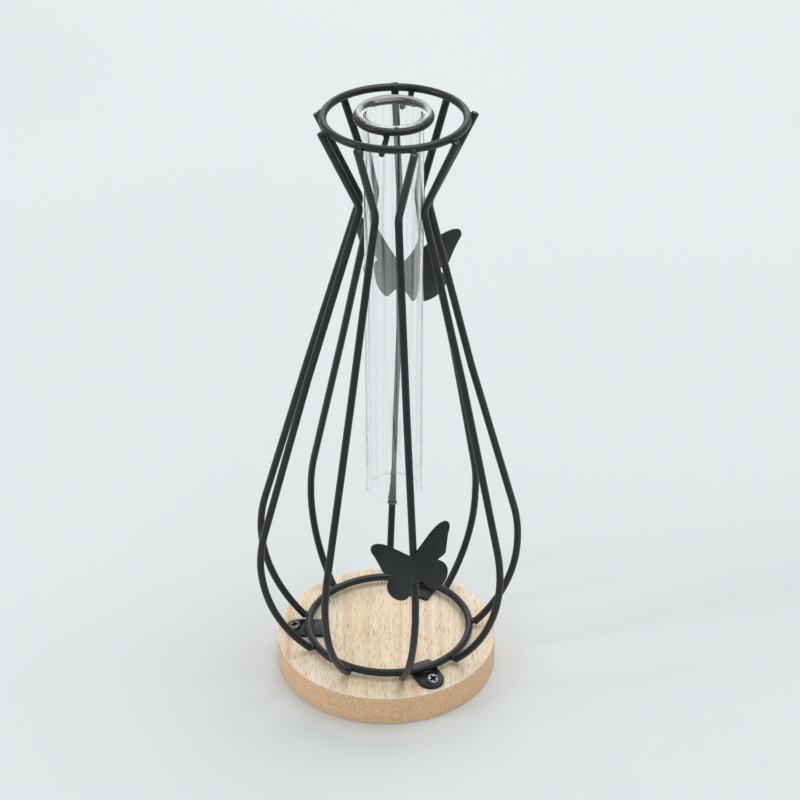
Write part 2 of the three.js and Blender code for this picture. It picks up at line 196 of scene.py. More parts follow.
# Arms, tabs and screws. A tab has an azimuth in degrees and its screw's distance from the cage's middle.
ARM_AZIMUTHS = {"front": 259, "back": 76}
ARM_OVERRUN = 0.2
ARM_SETBACK = 0.6
TABS = ((179.5, 34.6), (296, 35.4), (63, 34.0))
TAB_WIDTH = 9.4
TAB_THICKNESS = 1.5
TAB_END = 3.5
TAB_RUN = 11.7
TAB_EASE = 0.5
TAB_BEVEL = 0.2
SAME_HEIGHT = 1e-4
SCREW_HEAD = 4
SCREW_HEAD_HEIGHT = 1.1
SCREW_SHANK = 2.2
SCREW_LENGTH = 8
SCREW_EDGE = 0.45
RECESS_SPAN = 2.8
RECESS_WIDTH = 0.9
RECESS_DEPTH = 0.9
RECESS_SLACK = 0.02
# The mark on the faces that get the painted recess shade
RECESS_SHADE_MARK = "recess"
SCREW_TURNS = (0, 43, 20)
SCREW_LEANS = (12, 22, 12)
# Painted reflection of the wood: along X the left screw's head is fully orange outside the first place
# and plain past the second
WOOD_REFLECTION_EDGE = (-34.5, -34)

# Butterflies: wire, height, how far the fold stands off the wire sideways, wing length, the wings'
# turns out of the tangent plane, and tilt
BUTTERFLY_SHEET = 0.6
BUTTERFLIES = {
    "butterfly_lower": ("rib_wire_8", 73.5, -0.4, 15.3, (-9.5, 20.3), -7.2),
    "butterfly_upper": ("rib_wire_3", 150.3, -0.4, 21.3, (34.8, 14.3), -0.7),
}
FOLD_HALF = 1.1
WING_GRID = 1.2
SHEET_BEVEL = 0.16
SHEET_BEVEL_ANGLE = 50

# Right wing's outline in wing lengths: each curve's start, two handles and end
WING = (
    ((0, 0.12), (0.32, 0.36), (0.59, 0.68), (0.84, 0.72)),
    ((0.84, 0.72), (0.96, 0.74), (1.02, 0.66), (0.97, 0.53)),
    ((0.97, 0.53), (0.89, 0.37), (0.84, 0.17), (0.79, 0.02)),
    ((0.79, 0.02), (0.75, -0.06), (0.65, -0.07), (0.57, -0.11)),
    ((0.57, -0.11), (0.65, -0.18), (0.74, -0.22), (0.76, -0.37)),
    ((0.76, -0.37), (0.77, -0.58), (0.57, -0.8), (0.36, -0.79)),
    ((0.36, -0.79), (0.22, -0.79), (0.18, -0.49), (0, -0.43)),
)

# Facets
SHARP_ANGLE = 40
WIRE_SIDES = 20
RING_STEPS = 144
ROUND_STEPS = 180
LOWER_EDGE_STEPS = 3
SIDE_STEPS = 8
UPPER_EDGE_STEPS = 4
TUBE_STEPS = 288
TUBE_CORNER_STEPS = 8
BORE_CORNER_STEPS = 6
RIM_STEPS = 12
FLARE_STEPS = 10
TAB_END_STEPS = 28
TAB_BEVEL_STEPS = 3
SCREW_STEPS = 40
SCREW_EDGE_STEPS = 6
BEAD_DETAIL = 3
RUN_STEP = 2.0
NECK_STEPS = 10
BELLY_STEPS = 36
CURVE_STEPS = 12
FOLD_COLUMNS = 4
FOLD_STEPS = 24
SHEET_BEVEL_STEPS = 2

BASE_MIDDLE, BELLY_MIDDLE, WAIST_MIDDLE, NECK_MIDDLE, TOP_MIDDLE = CAGE_MIDDLE
TAB_TOP = BASE_THICKNESS + TAB_THICKNESS


# Shader helpers

class Shader:
    """A new material and short ways to add its nodes."""

    def __init__(self, name):
        self.material = bpy.data.materials.new(name)
        self.material.use_nodes = True
        self.tree = self.material.node_tree
        self.surface = self.tree.nodes["Principled BSDF"]

    def add(self, kind, **sockets):
        """A node; each socket, named with _ for spaces, takes a value or another node's socket."""
        node = self.tree.nodes.new(kind)
        for name, value in sockets.items():
            self.put(node.inputs[name.replace("_", " ")], value)
        return node

    def put(self, socket, value):
        if isinstance(value, bpy.types.NodeSocket):
            self.tree.links.new(value, socket)
        elif socket.type == "RGBA":
            socket.default_value = (*value, 1)
        else:
            socket.default_value = value

    def set(self, **sockets):
        for name, value in sockets.items():
            self.put(self.surface.inputs[name.replace("_", " ")], value)

    def place(self, scale=(1, 1, 1)):
        """The piece's own coordinates, stretched."""
        mapping = self.add("ShaderNodeMapping", Scale=scale)
        coordinates = self.add("ShaderNodeTexCoord")
        self.tree.links.new(coordinates.outputs["Object"], mapping.inputs["Vector"])
        return mapping.outputs["Vector"]

    def noise(self, scale, detail=2.0, stretch=(1, 1, 1), distortion=0.0):
        """Cloudy values about 0.5, with scale lumps to a metre."""
        node = self.add(
            "ShaderNodeTexNoise",
            Vector=self.place(stretch),
            Scale=scale,
            Detail=detail,
            Distortion=distortion,
        )
        return node.outputs["Fac"]

    def ramp(self, factor, *stops):
        """A colour ramp over (place, colour) stops."""
        node = self.add("ShaderNodeValToRGB", Fac=factor)
        elements = node.color_ramp.elements
        while len(elements) < len(stops):
            elements.new(1)
        for element, (place, colour) in zip(elements, stops):
            element.position = place
            element.color = (*colour, 1)
        return node.outputs["Color"]

    def span(self, factor, low, high, start=0.3, end=0.7):
        """A value that runs from low to high as the factor runs from start to end."""
        node = self.add("ShaderNodeMapRange", Value=factor)
        for socket, value in zip(node.inputs[1:5], (start, end, low, high)):
            socket.default_value = value
        return node.outputs["Result"]

    def mix(self, factor, first, second):
        """The first colour, turning to the second as the factor rises to 1."""
        node = self.add("ShaderNodeMix")
        node.data_type = "RGBA"
        for index, value in ((0, factor), (6, first), (7, second)):
            self.put(node.inputs[index], value)
        return node.outputs[2]

    def math(self, operation, *values):
        node = self.add("ShaderNodeMath")
        node.operation = operation
        for socket, value in zip(node.inputs, values):
            self.put(socket, value)
        return node.outputs["Value"]

    def upward(self):
        """How far the surface faces straight up or down, from 0 to 1."""
        shape = self.add("ShaderNodeNewGeometry")
        normal = self.add("ShaderNodeSeparateXYZ", Vector=shape.outputs["Normal"])
        return self.math("ABSOLUTE", normal.outputs["Z"])

    def bump(self, height, strength, distance):
        """Dents the surface by a value, up to a distance in metres."""
        node = self.add("ShaderNodeBump", Height=height, Strength=strength, Distance=distance)
        self.put(self.surface.inputs["Normal"], node.outputs["Normal"])


# Materials

def black_paint():
    """Satin black powder coat: a fine orange peel and slightly uneven gloss."""
    shader = Shader("black_paint")
    shader.set(
        Base_Color=shader.ramp(shader.noise(700, detail=3), (0.3, PAINT_DARK), (0.75, PAINT_LIGHT)),
        Roughness=shader.span(shader.noise(260, detail=3), 0.28, 0.4),
        Specular_IOR_Level=0.45,
    )
    shader.bump(shader.noise(2600), strength=0.12, distance=0.00006)
    return shader.material


def wood_face(shader, fibre, pores):
    """The colour of a planed face: wide bands, a few dark lines, fibres and short dark pores."""
    bands = shader.noise(110, detail=3, stretch=(1, 0.05, 0.4), distortion=0.4)
    lines = shader.noise(240, detail=1, stretch=(1, 0.006, 1))
    face = shader.ramp(bands, (0.32, WOOD_DARK), (0.5, WOOD_MIDDLE), (0.7, WOOD_PALE))
    face = shader.mix(shader.span(lines, 0, 0.7, start=0.54, end=0.7), face, WOOD_LINE)
    face = shader.mix(shader.span(fibre, 0, 0.45, start=0.45, end=0.72), face, WOOD_FIBRE)
    return shader.mix(shader.span(pores, 0, 0.8, start=0.56, end=0.7), face, WOOD_PORE)


def base_wood():
    """Bare pale wood with its grain along Y, specks on the sawn side, and a pale line on the rounded
    edges that is partly frayed fibre and partly painted highlight.
    """
    shader = Shader("base_wood")
    fibre = shader.noise(900, detail=4, stretch=(1, 0.04, 1))
    pores = shader.noise(3000, stretch=(1, 0.085, 1))
    face = wood_face(shader, fibre, pores)
    specks = shader.noise(1900, detail=3, stretch=(1, 1, 0.8))
    sawn = shader.ramp(specks, (0.3, SAWN_DARK), (0.5, SAWN_MIDDLE), (0.72, SAWN_PALE))
    upward = shader.upward()
    wood = shader.mix(shader.span(upward, 0, 1, start=0.25, end=0.75), sawn, face)
    # Paler on the rounded edges between top and side: partly frayed fibre, partly painted highlight
    none, most = (0, 0, 0), (0.8, 0.8, 0.8)
    fray_and_highlight = shader.ramp(upward, (0.15, none), (0.55, most), (0.97, none))
    shader.set(
        Base_Color=shader.mix(fray_and_highlight, wood, WOOD_FRAY_AND_HIGHLIGHT),
        Roughness=shader.span(fibre, 0.62, 0.8),
        Specular_IOR_Level=0.25,
    )
    shader.bump(shader.math("SUBTRACT", fibre, pores), strength=0.3, distance=0.00025)
    return shader.material


def screw_zinc():
    """Dull zinc plate with painted shade, black, down in the recess; the outer edge of the left screw
    carries a painted orange reflection of the wood.
    """
    shader = Shader("screw_zinc")
    plate = shader.ramp(shader.noise(900, detail=3), (0.3, ZINC_DARK), (0.7, ZINC_LIGHT))
    across = shader.add("ShaderNodeSeparateXYZ", Vector=shader.place()).outputs["X"]
    # Painted reflection of the wood: orange patches on the left screw's outer edge, which is less
    # metallic there
    outer, inner = (edge * MM for edge in WOOD_REFLECTION_EDGE)
    at_edge = shader.span(across, 1, 0, start=outer, end=inner)
    patches = shader.span(shader.noise(700), 0, 1, start=0.3, end=0.5)
    wood_reflection = shader.math("MULTIPLY", at_edge, patches)
    # Painted shade: the faces marked down in the recess turn black
    shaded_recess = shader.add("ShaderNodeAttribute")
    shaded_recess.attribute_name = RECESS_SHADE_MARK
    shader.set(
        Base_Color=shader.mix(shaded_recess.outputs["Fac"], shader.mix(wood_reflection, plate, PAINTED_WOOD_REFLECTION), RECESS_SHADE),
        Metallic=shader.span(wood_reflection, 1, 0.2, start=0, end=1),
        Roughness=shader.span(shader.noise(1800), 0.42, 0.6),
    )
    shader.bump(shader.noise(3000), strength=0.1, distance=0.00004)
    return shader.material


def glass_highlight(shader, height, upward):
    """How much painted highlight the glass gets: white at the crest of its fire-polished rim and round
    the corner of its foot.
    """
    crest = (LIP_TOP - RIM_CREST) * MM
    rim = shader.span(height, 0, RIM_HIGHLIGHT, start=crest, end=crest + RIM_CREST / 2 * MM)
    bottom, corner = TUBE_BOTTOM * MM, TUBE_CORNER * MM
    low = shader.span(height, CORNER_HIGHLIGHT, 0, start=bottom + corner / 2, end=bottom + corner)
    foot = shader.math("MULTIPLY", low, shader.span(upward, 1, 0, start=0.6, end=0.9))
    return shader.math("ADD", rim, foot)


def tube_glass():
    """Clear drawn glass with faint lines along the tube, painted white highlights at the rim's crest and
    the foot's corner, and a reflecting coat where it is upright.
    """
    shader = Shader("tube_glass")
    height = shader.add("ShaderNodeSeparateXYZ", Vector=shader.place()).outputs["Z"]
    upward = shader.upward()
    painted_highlight = glass_highlight(shader, height, upward)
    clear = shader.ramp(shader.noise(60, detail=1), (0.3, GLASS_TINT), (0.7, GLASS_CLEAR))
    low, high = ((TUBE_BOTTOM + rise) * MM for rise in TUBE_FOOT)
    shader.set(
        # Painted highlight: white mixed in, with less transmission, at the rim's crest and the foot's
        # corner
        Base_Color=shader.mix(painted_highlight, clear, GLASS_HIGHLIGHT),
        Transmission_Weight=shader.math("SUBTRACT", 1, painted_highlight),
        IOR=shader.span(height, FOOT_IOR, GLASS_IOR, start=low, end=high),
        Roughness=0,
        Coat_Weight=shader.span(upward, 1, 0, start=0.2, end=0.6),
        Coat_Roughness=0,
        Coat_IOR=COAT_IOR,
    )
    shader.bump(shader.noise(300, detail=1, stretch=(1, 1, 0.01)), strength=0.002, distance=0.0002)
    return shader.material


MATERIALS = {make.__name__: make() for make in (black_paint, base_wood, screw_zinc, tube_glass)}


# Pieces

def to_object(name, mesh_data):
    """A new object in the scene from mesh data, which is used up."""
    mesh = bpy.data.meshes.new(name)
    bmesh.ops.recalc_face_normals(mesh_data, faces=mesh_data.faces)
    mesh_data.to_mesh(mesh)
    mesh_data.free()
    made = bpy.data.objects.new(name, mesh)
    bpy.context.scene.collection.objects.link(made)
    return made


def applied(body):
    """New mesh data from an object with its modifiers applied; the object is removed."""
    bpy.context.view_layer.update()
    evaluated = body.evaluated_get(bpy.context.evaluated_depsgraph_get())
    made = bmesh.new()
    made.from_mesh(evaluated.to_mesh())
    bpy.data.objects.remove(body)
    return made


def add_piece(node, mesh_data, slot, body="cage"):
    """Makes the piece that stands for a node, from a mesh in millimetres."""
    piece = to_object(f"{node}_fine", mesh_data)
    mesh = piece.data
    mesh.transform(Matrix.Scale(MM, 4))
    mesh.polygons.foreach_set("use_smooth", [True] * len(mesh.polygons))
    mesh.set_sharp_from_angle(angle=math.radians(SHARP_ANGLE))
    mesh.materials.append(MATERIALS[slot])
    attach(piece, body)
    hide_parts(node)


def heading(azimuth):
    """The level direction at an azimuth in degrees."""
    return Vector((math.cos(math.radians(azimuth)), math.sin(math.radians(azimuth)), 0))


def add_loops(mesh, loops, closed=False):
    """Joins loops of points into a skin. A loop of one point is a pole."""
    made = [[mesh.verts.new(point) for point in loop] for loop in loops]
    followers = made[1:] + made[:1] if closed else made[1:]
    for near, far in zip(made, followers):
        for i in range(max(len(near), len(far))):
            corners = [near[k % len(near)] for k in (i, i + 1)]
            corners += [far[k % len(far)] for k in (i + 1, i)]
            mesh.faces.new(list(dict.fromkeys(corners)))
    return made


def add_lathe(mesh, profile, steps, centre=(0, 0)):
    """A turned shape from (radius, height) points, which start and end on the axis."""
    loops = []
    for radius, height in profile:
        count = steps if radius > 0 else 1
        turns = [2 * PI * i / count for i in range(count)]
        loops.append([
            Vector((centre[0] + radius * math.cos(t), centre[1] + radius * math.sin(t), height))
            for t in turns
        ])
    return add_loops(mesh, loops)


def arc(centre, radius, start, end, steps):
    """Points of an arc in a profile's plane, angles in radians."""
    angles = [start + (end - start) * i / steps for i in range(steps + 1)]
    return [Vector((centre[0] + radius * math.cos(a), centre[1] + radius * math.sin(a))) for a in angles]


def add_wire(mesh, line, radius, closed=False):
    """A round wire along a line of points, with softened flat ends."""
    count = len(line)
    turns = [2 * PI * k / WIRE_SIDES for k in range(WIRE_SIDES)]
    loops = []
    side = None
    for i, point in enumerate(line):
        before = line[i - 1] if closed or i else point
        after = line[(i + 1) % count] if closed or i < count - 1 else point
        direction = (after - before).normalized()
        if side is None:
            side = direction.cross(Vector((0, 0, 1))).normalized()
        side = (side - direction * side.dot(direction)).normalized()
        other = direction.cross(side)
        loops.append([point + (side * math.cos(t) + other * math.sin(t)) * radius for t in turns])
    if not closed:
        loops[:1] = wire_end(loops[0], line[0], line[0] - line[1])
        loops[-1:] = reversed(wire_end(loops[-1], line[-1], line[-1] - line[-2]))
    made = add_loops(mesh, loops, closed)
    if not closed:
        mesh.faces.new(made[0])
        mesh.faces.new(made[-1])


def wire_end(loop, centre, outward):
    """The loops at a wire's cut end: its edge is rounded a little."""
    back = outward.normalized() * WIRE_END
    face = [centre + (point - centre) * END_FACE for point in loop]
    eased = [centre + (point - centre) * END_EASE - back * END_EASE_PLACE for point in loop]
    full = [point - back for point in loop]
    return [face, eased, full]


def add_bead(mesh, place, run, length, width):
    """A weld bead: a rounded lump along a direction, a little uneven."""
    turn = run.normalized().to_track_quat("X", "Z").to_matrix().to_4x4()
    shape = Matrix.Translation(place) @ turn @ Matrix.Diagonal((length / 2, width / 2, width / 2, 1))
    made = bmesh.ops.create_icosphere(mesh, subdivisions=BEAD_DETAIL, radius=1, matrix=shape)
    for vert in made["verts"]:
        vert.co += (vert.co - place) * BEAD_UNEVEN * noise.noise(vert.co * BEAD_GRAIN)


# Wooden base

def wood_base():
    mesh = bmesh.new()
    top, edge, radius = BASE_THICKNESS, BASE_EDGE, BASE_RADIUS - BASE_INSET
    profile = [(0, 0), (radius - edge, 0)]
    profile += arc((radius - edge, edge), edge, -PI / 2, 0, LOWER_EDGE_STEPS)[1:]
    profile += [(radius, edge + (top - 2 * edge) * i / SIDE_STEPS) for i in range(1, SIDE_STEPS)]
    profile += arc((radius - edge, top - edge), edge, 0, PI / 2, UPPER_EDGE_STEPS)
    profile += [(radius - edge - BASE_RIM, top), (radius / 2, top), (0, top)]
    loops = add_lathe(mesh, profile, ROUND_STEPS)

    # The sawn edge, without the flat faces, wanders inwards by a fraction of a millimetre
    for loop in loops[2:-3]:
        for vert in loop:
            grain = Vector([value * scale for value, scale in zip(vert.co, FRAY_GRAIN)])
            wander = 0.5 + 0.5 * noise.noise(grain)
            inward = -Vector((vert.co.x, vert.co.y, 0)).normalized()
            vert.co += inward * EDGE_FRAY * wander
    add_piece("wood_base", mesh, "base_wood")


# Uprights

def along(angle):
    """The direction at an angle in a profile's plane."""
    return Vector((math.cos(angle), math.sin(angle)))


def crossing_tangent(first, second, side):
    """Angle and start of the straight run that crosses between two circles."""
    (centre, radius), (far_centre, far_radius) = first, second
    apart = far_centre - centre
    lean = math.asin((radius + far_radius) / apart.length)
    angle = math.atan2(apart.y, apart.x) % (2 * PI) + side * lean
    return angle, centre - along(angle + side * PI / 2) * radius


def rib_profile():
    """(radius, height) points from neck to foot, the touch on the top ring, and the flare's direction."""
    reach = TOP_RING_WIRE / 2 + RIB_WIRE / 2 + WELD_GAP
    top_ring = (Vector((TOP_RING_RADIUS, TOP_MIDDLE.z)), reach)
    neck = (Vector((NECK_RADIUS + NECK_BEND, NECK_MIDDLE.z)), NECK_BEND)
    foot_reach = BASE_RING_WIRE / 2 + RIB_WIRE / 2 + WELD_GAP
    foot = Vector((BASE_RING_RADIUS, BASE_MIDDLE.z)) + along(-math.radians(FOOT_DROP)) * foot_reach
    inset, rise = BELLY_RADIUS - foot.x, BELLY_MIDDLE.z - foot.y
    bend = (inset ** 2 + rise ** 2) / (2 * inset)
    belly = (Vector((BELLY_RADIUS - bend, BELLY_MIDDLE.z)), bend)
    flare_angle, touch = crossing_tangent(top_ring, neck, -1)
    body_angle, _ = crossing_tangent(neck, belly, 1)
    neck_arc = arc(neck[0], NECK_BEND, flare_angle - PI / 2, body_angle - PI / 2, NECK_STEPS)
    belly_arc = arc(belly[0], bend, body_angle - 3 * PI / 2, -math.asin(rise / bend), BELLY_STEPS)
    waist = at_height(neck_arc[-1], belly_arc[0], WAIST_MIDDLE.z)
    waist.x -= WAIST_PINCH
    body = straight(neck_arc[-1], waist)[1:] + straight(waist, belly_arc[0])[1:]
    run_out = belly_arc[-1] + (belly_arc[-1] - belly_arc[-2]).normalized() * FOOT_OVERRUN
    return neck_arc + body + belly_arc[1:] + [run_out], touch, along(flare_angle)


def at_height(high, low, height):
    """The point at a height on the line through two profile points."""
    return high.lerp(low, (height - high.y) / (low.y - high.y))


def straight(start, end):
    """Points of a straight run, close enough together to shade well."""
    steps = max(1, round((end - start).length / RUN_STEP))
    return [start.lerp(end, i / steps) for i in range(steps + 1)]


RIB_POINTS, RIB_TOUCH, RIB_FLARE = rib_profile()
RIB_FOOT = RIB_POINTS[-2]


def cage_place(height, sways):
    """The cage's middle and a wire's sway at a height, straight between the heights that are given."""
    passed = sum(place.z < height for place in CAGE_MIDDLE[1:-1])
    low, high = CAGE_MIDDLE[passed:passed + 2]
    share = (height - low.z) / (high.z - low.z)
    return low + (high - low) * share, sways[passed] + (sways[passed + 1] - sways[passed]) * share


def rib_point(rib, point):
    """A profile's point on one upright, with the cage's lean and the wire's own bends."""
    azimuth, sways, _ = RIBS[rib]
    radius, height = point
    middle, sway = cage_place(height, sways)
    return middle + heading(azimuth) * math.sqrt(radius ** 2 - sway ** 2) + heading(azimuth + 90) * sway


def rib_wires():
    top_weld = RIB_TOUCH.lerp(Vector((TOP_RING_RADIUS, TOP_MIDDLE.z)), TOP_WELD_SHARE)
    foot_weld = RIB_FOOT.lerp(Vector((BASE_RING_RADIUS, BASE_MIDDLE.z)), FOOT_WELD_SHARE)
    for rib, (azimuth, sways, overrun) in RIBS.items():
        mesh = bmesh.new()
        top_run = straight(RIB_TOUCH - RIB_FLARE * overrun, RIB_POINTS[0])
        add_wire(mesh, [rib_point(rib, point) for point in top_run + RIB_POINTS[1:]], RIB_WIRE / 2)
        for weld, sway, size in ((top_weld, sways[-1], TOP_WELD), (foot_weld, sways[0], FOOT_WELD)):
            turn = math.degrees(math.asin(sway / weld.x))
            add_bead(mesh, rib_point(rib, weld), heading(azimuth + turn + 90), *size)
        add_piece(rib, mesh, "black_paint")


# Rings and arms

def circle(radius, middle):
    return [middle + heading(360 * i / RING_STEPS) * radius for i in range(RING_STEPS)]


def base_ring():
    """The ring on the tabs, with a bead on both of its sides at each tab."""
    mesh = bmesh.new()
    add_wire(mesh, circle(BASE_RING_RADIUS, BASE_MIDDLE), BASE_RING_WIRE / 2, closed=True)
    for azimuth, _ in TABS:
        for side in (-1, 1):
            place = BASE_MIDDLE + heading(azimuth) * (BASE_RING_RADIUS + side * TAB_WELD_SIDE)
            place.z = TAB_TOP + TAB_WELD_RISE
            add_bead(mesh, place, heading(azimuth + 90), *TAB_WELD)
    add_piece("base_ring", mesh, "black_paint")


def upper_rings():
    for node, radius, middle, wire in (
        ("top_ring", TOP_RING_RADIUS, TOP_MIDDLE, TOP_RING_WIRE),
        ("tube_ring", TUBE_RING_RADIUS, TUBE_RING_PLACE, TUBE_RING_WIRE),
    ):
        mesh = bmesh.new()
        add_wire(mesh, circle(radius, middle), wire / 2, closed=True)
        add_piece(node, mesh, "black_paint")


def arms():
    """The bars under the two upper rings, with a bead under each ring."""
    tube_drop, top_drop = (
        Vector((0, 0, (wire + ARM_WIRE) / 2 + WELD_GAP)) for wire in (TUBE_RING_WIRE, TOP_RING_WIRE)
    )
    for end, azimuth in ARM_AZIMUTHS.items():
        mesh = bmesh.new()
        out = heading(azimuth)
        inner = TUBE_RING_PLACE + out * (TUBE_RING_RADIUS - ARM_OVERRUN) - tube_drop
        outer = TOP_MIDDLE + out * (TOP_RING_RADIUS - ARM_SETBACK) - top_drop
        add_wire(mesh, straight(inner, outer), ARM_WIRE / 2)
        for place in (inner + out * ARM_WELD_INNER, outer - out * ARM_WELD_OUTER):
            add_bead(mesh, place + tube_drop * ARM_WELD_SHARE, heading(azimuth + 90), *ARM_WELD)
        add_piece(f"tube_ring_arm_{end}", mesh, "black_paint")


# Tabs and screws

def tab_outline():
    """The tab's outline about its screw: a round end, and a square inner end with eased corners."""
    half, ease = TAB_WIDTH / 2, TAB_EASE
    points = [Vector((ease - TAB_RUN, -half))]
    points += arc((TAB_END - half, 0), half, -PI / 2, PI / 2, TAB_END_STEPS)
    points += [Vector((ease - TAB_RUN, half))]
    points += [Vector((-TAB_RUN, half - ease)), Vector((-TAB_RUN, ease - half))]
    return points


def screw_place(azimuth, reach):
    place = BASE_MIDDLE + heading(azimuth) * reach
    return Vector((place.x, place.y, TAB_TOP))


def tabs():
    for number, (azimuth, reach) in enumerate(TABS, 1):
        mesh = bmesh.new()
        low = [mesh.verts.new((p.x, p.y, -TAB_THICKNESS)) for p in tab_outline()]
        body = bmesh.ops.extrude_face_region(mesh, geom=[mesh.faces.new(low)])
        top = [v for v in body["geom"] if isinstance(v, bmesh.types.BMVert)]
        bmesh.ops.translate(mesh, verts=top, vec=(0, 0, TAB_THICKNESS))
        rim = [e for e in mesh.edges if all(abs(v.co.z) < SAME_HEIGHT for v in e.verts)]
        bmesh.ops.bevel(
            mesh, geom=rim, offset=TAB_BEVEL, segments=TAB_BEVEL_STEPS, profile=0.5, affect="EDGES"
        )
        turn = Matrix.Rotation(math.radians(azimuth), 4, "Z")
        mesh.transform(Matrix.Translation(screw_place(azimuth, reach)) @ turn)
        add_piece(f"mounting_tab_{number}", mesh, "black_paint")


def screw_body():
    """A flat pan head with a rounded edge and its shank, with the head's underside at height zero."""
    mesh = bmesh.new()
    head, shank, edge = SCREW_HEAD / 2, SCREW_SHANK / 2, SCREW_EDGE
    profile = [(0, -SCREW_LENGTH), (shank, shank - SCREW_LENGTH), (shank, 0), (head, 0)]
    profile += arc((head - edge, SCREW_HEAD_HEIGHT - edge), edge, 0, PI / 2, SCREW_EDGE_STEPS)
    profile += [(0, SCREW_HEAD_HEIGHT)]
    add_lathe(mesh, profile, SCREW_STEPS)
    return mesh


def recess():
    """The cross recess: two crossed bars."""
    mesh = bmesh.new()
    length, width = RECESS_SPAN / 2, RECESS_WIDTH / 2
    corners = ((length, width), (-length, width), (-length, -width), (length, -width))
    for quarter in range(2):
        turn = Matrix.Rotation(quarter * PI / 2, 4, "Z")
        heights = (SCREW_HEAD_HEIGHT + RECESS_DEPTH, SCREW_HEAD_HEIGHT - RECESS_DEPTH)
        loops = [[turn @ Vector((x, y, height)) for x, y in corners] for height in heights]
        for loop in add_loops(mesh, loops):
            mesh.faces.new(loop)
    return mesh


def cut(body, cutter):
    """The body's mesh with the cutter taken out, as new mesh data."""
    modifier = body.modifiers.new("cut", "BOOLEAN")
    modifier.object = cutter
    modifier.solver = "EXACT"
    modifier.use_self = True
    made = applied(body)
    bpy.data.objects.remove(cutter)
    return made


def mark_recess_shade(mesh):
    """Marks the faces down in the recess, which the shader paints black as shade."""
    mark = mesh.faces.layers.float.new(RECESS_SHADE_MARK)
    for face in mesh.faces:
        middle = face.calc_center_median()
        short, long = sorted((abs(middle.x), abs(middle.y)))
        depth = SCREW_HEAD_HEIGHT - middle.z
        in_cross = short < RECESS_WIDTH / 2 + RECESS_SLACK and long < RECESS_SPAN / 2 + RECESS_SLACK
        face[mark] = float(in_cross and RECESS_SLACK < depth < RECESS_DEPTH + RECESS_SLACK)


def screws():
    """The screws were driven from outside the cage, so their heads lean outwards."""
    for number, (tab, turn, lean) in enumerate(zip(TABS, SCREW_TURNS, SCREW_LEANS), 1):
        mesh = cut(to_object("screw", screw_body()), to_object("recess", recess()))
        mark_recess_shade(mesh)
        outward = Matrix.Rotation(math.radians(lean), 4, heading(tab[0] + 90))
        driven = outward @ Matrix.Rotation(math.radians(turn), 4, "Z")
        mesh.transform(Matrix.Translation(screw_place(*tab)) @ driven)
        add_piece(f"tab_screw_{number}", mesh, "screw_zinc")


# Butterflies

def bezier(points, share):
    """A point of a curve given by its ends and handles."""
    a, b, c, d = (Vector(p) for p in points)
    rest = 1 - share
    return a * rest ** 3 + b * 3 * rest ** 2 * share + c * 3 * rest * share ** 2 + d * share ** 3


def butterfly_sheet(wing):
    """The flat sheet of both wings, cut into a grid so that it can bend."""
    half = [bezier(curve, i / CURVE_STEPS) * wing for curve in WING for i in range(CURVE_STEPS)]
    half.append(Vector(WING[-1][-1]) * wing)
    outline = half + [Vector((-p.x, p.y)) for p in reversed(half[1:-1])]
    mesh = bmesh.new()
    mesh.faces.new([mesh.verts.new((p.x, p.y, 0)) for p in outline])
    reach = int(wing / WING_GRID)
    columns = [i * WING_GRID for i in range(-reach, reach + 1)]
    columns += [FOLD_HALF * i / FOLD_COLUMNS for i in range(-FOLD_COLUMNS, FOLD_COLUMNS + 1) if i]
    for x in columns:
        everything = mesh.verts[:] + mesh.edges[:] + mesh.faces[:]
        bmesh.ops.bisect_plane(mesh, geom=everything, plane_co=(x, 0, 0), plane_no=(1, 0, 0))
    return mesh


def fold_place(s, near_turn, far_turn):
    """Across and outward place of a point at distance s from the fold, which bends over a short way."""
    across = outward = 0
    for i in range(FOLD_STEPS):
        at = s * (i + 0.5) / FOLD_STEPS
        share = min(1, max(0, (at + FOLD_HALF) / (2 * FOLD_HALF)))
        slope = -far_turn + (near_turn + far_turn) * share
        across += math.cos(slope) * s / FOLD_STEPS
        outward += math.sin(slope) * s / FOLD_STEPS
    return across, outward


def folded_butterfly(wing, turns):
    """The folded sheet with its thickness and eased edges, as mesh data about the fold's middle."""
    mesh = butterfly_sheet(wing)
    for vert in mesh.verts:
        across, outward = fold_place(vert.co.x, *turns)
        vert.co = Vector((across, vert.co.y, outward))
    sheet = to_object("sheet", mesh)
    solid = sheet.modifiers.new("thickness", "SOLIDIFY")
    solid.thickness = BUTTERFLY_SHEET
    solid.offset = 0
    bevel = sheet.modifiers.new("bevel", "BEVEL")
    bevel.width = SHEET_BEVEL
    bevel.segments = SHEET_BEVEL_STEPS
    bevel.limit_method = "ANGLE"
    bevel.angle_limit = math.radians(SHEET_BEVEL_ANGLE)
    return applied(sheet)


def butterfly_seat(rib, height):
    """The wire's middle at a height, and the directions up along it and out of the cage."""
    low_index = next(i for i, point in enumerate(RIB_POINTS) if point.y < height)
    high, low = RIB_POINTS[low_index - 1:low_index + 1]
    up = (rib_point(rib, high) - rib_point(rib, low)).normalized()
    out = heading(RIBS[rib][0] + 90).cross(up).normalized()
    return rib_point(rib, at_height(high, low, height)), up, out


def butterflies():
    for node, (rib, height, slide, wing, degrees, tilt) in BUTTERFLIES.items():
        turns = [math.radians(turn) for turn in degrees]
        mesh = folded_butterfly(wing, turns)
        seat, up, out = butterfly_seat(rib, height)
        across = up.cross(out)
        steepest = max(abs(turn) for turn in turns)
        reach = (RIB_WIRE / 2 + WELD_GAP + BUTTERFLY_SHEET / 2) / math.cos(steepest)
        place = Matrix((across, up, out)).transposed().to_4x4()
        place.translation = seat + out * reach + across * slide
        mesh.transform(place @ Matrix.Rotation(-math.radians(tilt), 4, "Z"))
        for share in WING_WELD_PLACES:
            weld = seat + out * reach * WING_WELD_SHARE + up * share * wing
            add_bead(mesh, weld, up, *WING_WELD)
        add_piece(node, mesh, "black_paint")


# Glass tube

